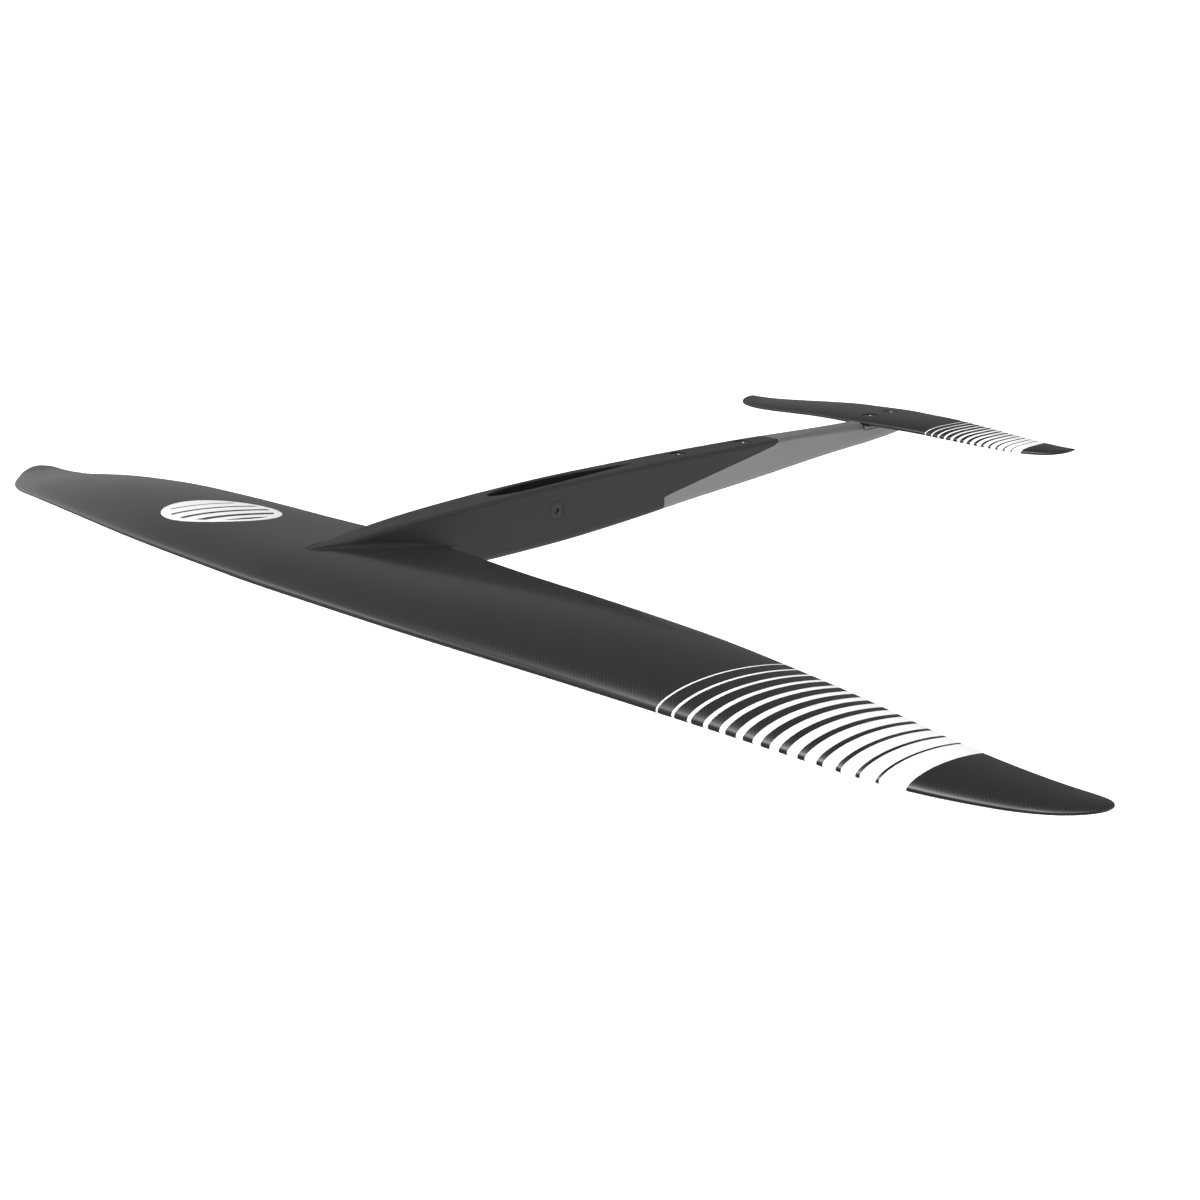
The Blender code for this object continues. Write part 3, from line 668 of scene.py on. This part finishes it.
def recentre(piece, centre):
    """Moves the object's origin to the screw's axis, for the turned finish."""
    origin = to_frame(*centre)
    piece.data.transform(Matrix.Translation(-Vector(origin)))
    piece.location = origin


def screw(name, profile, centre, axis, face, depth):
    piece = turned(name, profile, centre, axis)
    cut(piece, socket_tools(centre, axis, face, depth), smooth=32.0)
    recentre(piece, (*centre[:2], face) if axis == "z" else (face, *centre[1:]))
    return piece


def shank(tip, neck, plain):
    """Profile points from a screw's tip to the start of its head at neck. The
    thread ends within one pitch of the plain length below the neck."""
    pitch, depth = 1.0, 0.30
    points = [(tip, SCREW_R - 0.9)]
    z, end = tip + 0.7, neck - plain
    while z + pitch < end:
        points += [(z, SCREW_R - depth), (z + 0.5 * pitch, SCREW_R)]
        z += pitch
    return points + [(z, SCREW_R - depth), (neck - 1.2, SCREW_R), (neck, SCREW_R)]


def edge_round(radius, face, corner):
    """Profile points of a rounded rim that ends on the face."""
    return [(along, r) for r, along in arc(radius - corner, face - corner, corner, 0, 90, 5)]


def vertical_screw(name, y, tip, recess_top):
    head = recess_top - GAP
    profile = shank(tip, head - HEAD_H, plain=1.5)
    profile += [(head - 0.5, HEAD_R)] + edge_round(HEAD_R, head, 0.3)[1:]
    return screw(name, profile, (0.0, y, 0.0), "z", head, depth=2.4)


def cup_washer(face):
    """Countersunk washer in the cup on the fuselage's +X side."""
    floor_x = CUP_FLOOR + GAP
    bore_end = face - 0.65
    profile = [(floor_x, SCREW_BORE_R), (floor_x, CUP_R - 0.2), (floor_x + 0.2, CUP_R)]
    profile += edge_round(CUP_R, face, 0.2)
    profile += [(face, CUP_BORE_R + 0.12), (face - 0.12, CUP_BORE_R),
                (bore_end, CUP_BORE_R),
                (bore_end - CUP_BORE_R + SCREW_BORE_R, SCREW_BORE_R),
                (floor_x, SCREW_BORE_R)]
    washer = turned("cross_screw_cup_washer_turned", profile, CROSS_CENTRE, "x",
                    segments=96)
    recentre(washer, (face, MAST_Y, CROSS_Z))
    return washer


def cross_screw(washer_face):
    """Screw across the fuselage, its head sunk in the washer."""
    head, head_radius = washer_face - 0.06, CUP_BORE_R - 0.08
    cone_top = head - 0.4
    profile = shank(-12.4, cone_top - head_radius + SCREW_R, plain=2.1)
    profile += [(cone_top, head_radius)] + edge_round(head_radius, head, 0.25)
    return screw("mast_cross_screw_turned", profile, CROSS_CENTRE, "x", head, depth=1.0)


# ------------------------------------------------------------------ finishes
class Graph:
    """Short forms for wiring shader nodes; values are sockets or numbers."""

    def __init__(self, tree):
        self.tree = tree

    def node(self, kind, **props):
        made = self.tree.nodes.new(kind)
        for key, value in props.items():
            setattr(made, key, value)
        return made

    def put(self, socket, value):
        if isinstance(value, bpy.types.NodeSocket):
            self.tree.links.new(value, socket)
        else:
            socket.default_value = value

    def math(self, operation, *values):
        made = self.node("ShaderNodeMath", operation=operation)
        for socket, value in zip(made.inputs, values):
            self.put(socket, value)
        return made.outputs[0]

    def times(self, first, second):
        return self.math("MULTIPLY", first, second)

    def linear(self, value, gain, offset):
        return self.math("MULTIPLY_ADD", value, gain, offset)

    def vary(self, tone, value, gain, offset):
        """Scales a tone by a linear function of value."""
        return self.times(tone, self.linear(value, gain, offset))

    def mix(self, factor, first, second, kind="FLOAT"):
        made = self.node("ShaderNodeMix", data_type=kind)
        for key, value in (("Factor", factor), ("A", first), ("B", second)):
            self.put(made.inputs[key], value)
        return made.outputs["Result"]

    def split(self, vector):
        made = self.node("ShaderNodeSeparateXYZ")
        self.put(made.inputs[0], vector)
        return made.outputs

    def length(self, first, second):
        return self.math("SQRT", self.math("ADD", self.times(first, first),
                                           self.times(second, second)))


class Finish(Graph):
    """A new material, with its shader's inputs set through surface()."""

    def __init__(self, name):
        self.material = bpy.data.materials.new(name)
        self.material.use_nodes = True
        super().__init__(self.material.node_tree)

    def surface(self, values):
        inputs = self.tree.nodes["Principled BSDF"].inputs
        for key, value in values.items():
            self.put(inputs[key], value)
        return self.material

    def position(self):
        """Object coordinates in millimetres."""
        scaled = self.node("ShaderNodeVectorMath", operation="SCALE")
        self.put(scaled.inputs[0], self.node("ShaderNodeTexCoord").outputs["Object"])
        scaled.inputs["Scale"].default_value = 1000.0
        return scaled.outputs[0]

    def normal(self):
        """The surface normal's parts in object space."""
        return self.split(self.node("ShaderNodeTexCoord").outputs["Normal"])

    def stretched(self, vector, scale):
        made = self.node("ShaderNodeMapping")
        self.put(made.inputs["Vector"], vector)
        made.inputs["Scale"].default_value = scale
        return made.outputs[0]

    def noise(self, vector, scale, detail, rough):
        made = self.node("ShaderNodeTexNoise")
        for key, value in (("Vector", vector), ("Scale", scale), ("Detail", detail),
                           ("Roughness", rough)):
            self.put(made.inputs[key], value)
        return made.outputs["Fac"]

    def bump(self, height, distance, strength):
        made = self.node("ShaderNodeBump")
        for key, value in (("Strength", strength), ("Distance", distance),
                           ("Height", height)):
            self.put(made.inputs[key], value)
        return made.outputs["Normal"]

    def colour(self, parts):
        made = self.node("ShaderNodeCombineColor")
        for socket, value in zip(made.inputs, parts):
            self.put(socket, value)
        return made.outputs[0]

    def tinted(self, tone, factors):
        return self.colour([self.times(tone, factor) for factor in factors])


def twill(graph, u, v):
    """2/2 twill: mask of the tows that lie over, and height of the weave."""
    u, v = graph.math("DIVIDE", u, TOW_WIDTH), graph.math("DIVIDE", v, TOW_WIDTH)
    cells = graph.math("ADD", graph.math("FLOOR", u), graph.math("FLOOR", v))
    over = graph.math("LESS_THAN", graph.math("FLOORED_MODULO", cells, 4.0), 1.5)

    def crown(along):
        offset = graph.math("SUBTRACT", graph.math("FRACT", along), 0.5)
        return graph.math("SUBTRACT", 1.0, graph.times(graph.times(offset, offset), 4.0))

    return over, graph.mix(over, crown(v), crown(u))


def stripe_mask(graph, x, first, pitch, width, growth, end, bend):
    """Stripes that widen outwards and merge, bent over the rear of the chord."""
    chord = graph.node("ShaderNodeAttribute", attribute_name="chord").outputs["Fac"]
    bend_from = 0.45
    late = graph.math("MAXIMUM", graph.math(
        "DIVIDE", graph.math("SUBTRACT", chord, bend_from), 1 - bend_from), 0.0)
    bent_x = graph.math("ADD", x, graph.times(graph.math("POWER", late, 1.5), bend))
    count = graph.math("DIVIDE", graph.math("SUBTRACT", bent_x, first), pitch)
    share = graph.math("DIVIDE", graph.linear(
        graph.math("FLOOR", count), gain=growth, offset=width), pitch)
    stripe = graph.math("LESS_THAN", graph.math("FRACT", count), share)
    stripe = graph.times(stripe, graph.math("GREATER_THAN", count, 0.0))
    stripe = graph.math("MAXIMUM", stripe, graph.math("GREATER_THAN", count, SOLID_FROM))
    stripe = graph.times(stripe, graph.math("LESS_THAN", bent_x, end))
    # Faces that look almost straight down stay bare.
    return graph.times(stripe, graph.math("GREATER_THAN", graph.normal()[2], -0.93))


def emblem_mask(graph, x, y, centre_x, centre_y, radius):
    """A disc with five bare bars of growing width, on the upper side only."""
    from_x = graph.math("SUBTRACT", x, centre_x)
    from_y = graph.math("SUBTRACT", y, centre_y - MAST_Y)
    distance = graph.length(from_x, from_y)
    disc = graph.math("LESS_THAN", distance, radius)
    count = graph.math("DIVIDE", graph.math("ADD", from_x, radius * 0.62), radius * 0.34)
    share = graph.linear(graph.math("FLOOR", count), gain=0.09, offset=0.16)
    bar = graph.math("LESS_THAN", graph.math("FRACT", count), share)
    bar = graph.times(bar, graph.math("GREATER_THAN", count, 0.0))
    bar = graph.times(bar, graph.math("LESS_THAN", count, 4.6))
    bar = graph.times(bar, graph.math("LESS_THAN", distance, radius * 0.86))
    mark = graph.times(disc, graph.math("SUBTRACT", 1.0, bar))
    return graph.times(mark, graph.math("GREATER_THAN", graph.normal()[2], 0.0))


def carbon(name, stripes=None, emblem=None, projected=False, coat=1.0,
           relief=1.0, rough=0.165, painted_light_gain=1.0):
    """Fine carbon twill under a satin clear coat, with the paint stripes and
    emblem under the same coat. Projected twill runs up the side faces."""
    graph = Finish(name)
    place = graph.position()
    x, y, z = graph.split(place)
    across = x
    if projected:
        sideways = graph.math("ABSOLUTE", graph.normal()[0])
        across = graph.mix(graph.math("GREATER_THAN", sideways, 0.70), x, z)
    over, weave = twill(graph, across, y)
    fibre = graph.noise(place, scale=1.6, detail=4.0, rough=0.6)
    cloud = graph.noise(place, scale=0.018, detail=3.0, rough=0.5)
    middle = 0.5 * (CARBON_DARK + CARBON_LIGHT)
    tone = graph.mix(over, middle + (CARBON_DARK - middle) * relief,
                     middle + (CARBON_LIGHT - middle) * relief)
    tone = graph.vary(tone, fibre, gain=0.24, offset=0.88)
    tone = graph.vary(tone, weave, gain=0.08 * relief, offset=1 - 0.05 * relief)
    tone = graph.vary(tone, cloud, gain=0.16, offset=0.92)
    # The tone's gain paints light in: above 1 it makes a lighter copy of the wing's carbon, to
    # offset the shade that falls on that piece.
    colour = graph.tinted(tone, [factor * painted_light_gain for factor in (1.0, 1.005, 1.02)])
    if stripes:
        painted = stripe_mask(graph, x, **stripes)
        if emblem:
            painted = graph.math("MAXIMUM", painted, emblem_mask(graph, x, y, **emblem))
        paint = graph.colour([graph.linear(cloud, gain=0.03, offset=0.955)] * 3)
        colour = graph.mix(painted, colour, paint, kind="RGBA")
        weave = graph.vary(weave, painted, gain=-0.8, offset=1.0)
    peel = graph.noise(place, scale=0.22, detail=2.0, rough=0.5)
    haze = graph.noise(place, scale=0.05, detail=4.0, rough=0.6)
    coat_height = graph.math("ADD", graph.times(peel, 0.6),
                             graph.times(weave, 0.007 * relief))
    return graph.surface({
        "Base Color": colour,
        "Roughness": 0.48,
        "Specular IOR Level": 0.0,
        "Normal": graph.bump(weave, FINE_BUMP, strength=0.5 * relief),
        "Coat Weight": coat,
        "Coat IOR": 1.5,
        "Coat Roughness": graph.linear(haze, gain=0.06, offset=rough - 0.03),
        "Coat Normal": graph.bump(coat_height, FINE_BUMP, strength=0.4)})


def anodised(name):
    """Fine-blasted grey anodised aluminium with faint drawing lines."""
    graph = Finish(name)
    place = graph.position()
    lines = graph.noise(graph.stretched(place, (1.0, 0.04, 1.0)),
                        scale=3.0, detail=3.0, rough=0.6)
    grain = graph.noise(place, scale=5.5, detail=3.0, rough=0.7)
    cloud = graph.noise(place, scale=0.03, detail=2.0, rough=0.5)
    tone = graph.linear(lines, gain=0.02, offset=0.385)
    tone = graph.vary(tone, grain, gain=0.10, offset=0.95)
    tone = graph.vary(tone, cloud, gain=0.06, offset=0.97)
    height = graph.math("ADD", graph.times(grain, 0.8), graph.times(lines, 0.3))
    return graph.surface({
        "Base Color": graph.tinted(tone, (1.0, 1.0, 1.005)),
        "Metallic": 1.0,
        "Roughness": graph.linear(grain, gain=0.10, offset=0.44),
        "Normal": graph.bump(height, FINE_BUMP, strength=0.45)})


def steel(name, axis="z", tone=0.27):
    """Machined steel with turning rings about the piece's own axis."""
    graph = Finish(name)
    place = graph.position()
    x, y, z = graph.split(place)
    radius = graph.length(x, y) if axis == "z" else graph.length(y, z)
    rings = graph.math("SINE", graph.times(radius, 42.0))
    wear = graph.noise(place, scale=0.9, detail=4.0, rough=0.6)
    shade = graph.math("ADD", graph.linear(wear, gain=0.30 * tone, offset=0.85 * tone),
                       graph.times(rings, 0.04 * tone))
    return graph.surface({
        "Base Color": graph.tinted(shade, (1.0, 0.99, 0.975)),
        "Metallic": 1.0,
        "Roughness": graph.linear(wear, gain=0.14, offset=0.30),
        "Normal": graph.bump(graph.math("ADD", rings, wear), 0.000008, strength=0.5)})


def foam(name):
    """Pale cellular core foam."""
    graph = Finish(name)
    voronoi = graph.node("ShaderNodeTexVoronoi")
    graph.put(voronoi.inputs["Vector"], graph.position())
    voronoi.inputs["Scale"].default_value = 1.4
    cells = voronoi.outputs["Distance"]
    tone = graph.linear(cells, gain=0.25, offset=0.45)
    return graph.surface({
        "Base Color": graph.tinted(tone, (1.05, 1.0, 0.82)),
        "Roughness": 0.9,
        "Normal": graph.bump(cells, 0.0002, strength=0.6)})


def laminate(name):
    """Dark laminate with lines along X."""
    graph = Finish(name)
    lines = graph.noise(graph.stretched(graph.position(), (0.02, 1.0, 1.0)),
                        scale=3.5, detail=4.0, rough=0.6)
    return graph.surface({
        "Base Color": graph.colour([graph.linear(lines, gain=0.03, offset=0.012)] * 3),
        "Roughness": graph.linear(lines, gain=0.2, offset=0.4),
        "Normal": graph.bump(lines, 0.0001, strength=0.5)})


def brass(name):
    """Unevenly worn brass."""
    graph = Finish(name)
    wear = graph.noise(graph.position(), scale=0.8, detail=4.0, rough=0.6)
    dark, light = (0.52, 0.38, 0.17, 1), (0.66, 0.50, 0.25, 1)
    return graph.surface({
        "Base Color": graph.mix(wear, dark, light, kind="RGBA"),
        "Metallic": 1.0,
        "Roughness": graph.linear(wear, gain=0.2, offset=0.25),
        "Normal": graph.bump(wear, FINE_BUMP, strength=0.4)})


# --------------------------------------------------------------------- build
def add_wing_and_fuselage():
    foil = Foil(WING, WING_CAMBER, WING_EDGE, fairing=14.0, tip_from=478.0, tip_fairing=2.2)
    xs = spanwise(WING_TIP, step=4.0, fine_from=420.0, fine_step=2.0,
                  end_from=498.0, end_count=40)
    dress(foil.build("front_wing_moulding", xs, 44),
          carbon("carbon_front_wing", WING_STRIPES, EMBLEM), "frame", "carbon",
          "front_wing_upper_skin", "front_wing_lower_skin")
    # Painted light: the fuselage's carbon tone is raised 1.6 times over the wing's, to lighten
    # the shade on its sides beside the wing.
    dress(front_fuselage(),
          carbon("carbon_front_fuselage", projected=True, relief=0.2, rough=0.34,
                 coat=0.72, painted_light_gain=1.6),
          "frame", "carbon", "front_fuselage")
    # Painted light: the fillets' carbon tone is raised 1.3 times over the wing's, to lighten
    # the shade in the root corners.
    dress(root_fillets(foil),
          carbon("carbon_root_fillets", relief=0.2, rough=0.34, coat=0.85, painted_light_gain=1.3),
          "frame", "carbon")
    dress(rear_bar(), anodised("blasted_anodised_bar"), "frame", "anodised_bar",
          "rear_fuselage")


def add_stabiliser():
    foil = Foil(STAB, FLAT, STAB_EDGE, fairing=6.0, tip_from=146.0, tip_fairing=1.6)
    xs = spanwise(STAB_TIP, step=2.5, fine_from=140.0, fine_step=1.2,
                  end_from=158.0, end_count=24)
    stab = foil.build("stabiliser_moulding", xs, 36)
    cut(stab, [bore_tool(y, 0.0, head) for y, _, head in STAB_SCREWS.values()],
        smooth=50.0)
    dress(stab, carbon("carbon_stabiliser", STAB_STRIPES, relief=0.6), "stabiliser",
          "carbon", "stabiliser_upper_skin", "stabiliser_lower_skin")
    dress(seat_pad(), anodised("blasted_seat_pad"), "frame", "seat_pad",
          "stabiliser_seat_pad")


def add_fasteners():
    for group, body, screws in (("joint", "frame", JOINT_SCREWS),
                                ("stabiliser", "stabiliser", STAB_SCREWS)):
        for which, place in screws.items():
            name = f"{group}_screw_{which}"
            dress(vertical_screw(name + "_turned", *place),
                  steel(f"steel_{group}_{which}"), body, "steel", name)
    washer_face = MAST_HALF_WIDTH - 0.08
    dress(cup_washer(washer_face), steel("steel_cup_washer", "x", tone=0.092),
          "frame", "black_steel", "cross_screw_cup_washer")
    dress(cross_screw(washer_face), steel("steel_cross_screw", "x", tone=0.088),
          "cross_screw", "black_steel", "mast_cross_screw")


def finish_hidden_parts():
    """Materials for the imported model's own inner pieces."""
    for maker, names in (
            (laminate, ("front_wing_spar",)),
            (foam, ("front_wing_nose_core", "front_wing_rear_core_left",
                    "front_wing_rear_core_right", "stabiliser_core_left",
                    "stabiliser_core_right")),
            (brass, ("cross_screw_insert", "joint_insert_front", "joint_insert_rear",
                     "stabiliser_insert_front", "stabiliser_insert_rear"))):
        for name in names:
            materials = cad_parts[name].data.materials
            materials.clear()
            materials.append(maker(name + "_finish"))


# --------------------------------------------------------------------- stage
def add_floor():
    """Pale disc, see-through from below and unseen in reflections."""
    mesh = bpy.data.meshes.new("floor")
    turns = [2 * math.pi * k / FLOOR_SEGMENTS for k in range(FLOOR_SEGMENTS)]
    verts = [(FLOOR_RADIUS * math.cos(a), FLOOR_RADIUS * math.sin(a), FLOOR_HEIGHT)
             for a in turns]
    mesh.from_pydata(verts, [], [tuple(range(FLOOR_SEGMENTS))])
    disc = link_object("floor", mesh)
    graph = Finish("pale_floor")
    seen = graph.node("ShaderNodeLightPath").outputs["Is Camera Ray"]
    graph.surface({
        "Base Color": (0.93, 0.93, 0.93, 1),
        "Roughness": 0.95,
        "Specular IOR Level": 0.0,
        "Emission Color": (1, 1, 1, 1),
        "Emission Strength": graph.times(seen, 0.45)})
    nodes = graph.tree.nodes
    both = graph.node("ShaderNodeMixShader")
    graph.put(both.inputs[0], graph.node("ShaderNodeNewGeometry").outputs["Backfacing"])
    graph.put(both.inputs[1], nodes["Principled BSDF"].outputs[0])
    graph.put(both.inputs[2], graph.node("ShaderNodeBsdfTransparent").outputs[0])
    graph.put(nodes["Material Output"].inputs["Surface"], both.outputs[0])
    mesh.materials.append(graph.material)
    disc.visible_glossy = False


def direction(elevation, azimuth):
    """Unit vector; azimuth 0 is +Y and 90 degrees is +X."""
    rise, turn = math.radians(elevation), math.radians(azimuth)
    return (math.cos(rise) * math.sin(turn), math.cos(rise) * math.cos(turn),
            math.sin(rise))


def add_studio():
    """Broad glows on a dim surround: a large one overhead towards -Y, two low
    ones at -X and -Y that dim below the horizon, the second narrow, a low one
    at +X and +Y, and one from beneath. The camera itself sees plain white."""
    world = bpy.data.worlds.new("studio")
    bpy.context.scene.world = world
    world.use_nodes = True
    graph = Graph(world.node_tree)
    graph.tree.nodes.clear()
    view = graph.node("ShaderNodeTexCoord").outputs["Generated"]
    horizon = graph.node("ShaderNodeMapRange", interpolation_type="SMOOTHSTEP")
    for key, value in (("Value", graph.split(view)[2]), ("From Min", -0.34),
                       ("From Max", -0.08), ("To Min", 0.22)):
        graph.put(horizon.inputs[key], value)
    total = STUDIO_BASE
    for elevation, azimuth, brightness, tightness, dimmed in STUDIO_GLOWS:
        facing = graph.node("ShaderNodeVectorMath", operation="DOT_PRODUCT")
        graph.put(facing.inputs[0], view)
        facing.inputs[1].default_value = direction(elevation, azimuth)
        glow = graph.math("EXPONENT", graph.linear(
            facing.outputs["Value"], gain=tightness, offset=-tightness))
        if dimmed:
            glow = graph.times(glow, horizon.outputs["Result"])
        total = graph.linear(glow, gain=brightness, offset=total)
    glows = graph.node("ShaderNodeBackground")
    graph.put(glows.inputs["Strength"], total)
    white = graph.node("ShaderNodeBackground")
    white.inputs["Color"].default_value = (1, 1, 1, 1)
    white.inputs["Strength"].default_value = 1.05
    both = graph.node("ShaderNodeMixShader")
    graph.put(both.inputs[0], graph.node("ShaderNodeLightPath").outputs["Is Camera Ray"])
    graph.put(both.inputs[1], glows.outputs[0])
    graph.put(both.inputs[2], white.outputs[0])
    graph.put(graph.node("ShaderNodeOutputWorld").inputs[0], both.outputs[0])


def add_camera():
    camera = link_object("camera", bpy.data.cameras.new("camera"))
    camera.location = CAMERA_PLACE
    camera.rotation_euler = (math.radians(CAMERA_PITCH), 0.0, math.radians(CAMERA_TURN))
    camera.data.lens = 54.42
    camera.data.sensor_width = 36.0
    camera.data.clip_end = 200.0
    bpy.context.scene.camera = camera
    bpy.context.scene.view_settings.view_transform = "Standard"


add_wing_and_fuselage()
add_stabiliser()
add_fasteners()
finish_hidden_parts()
add_floor()
add_studio()
add_camera()
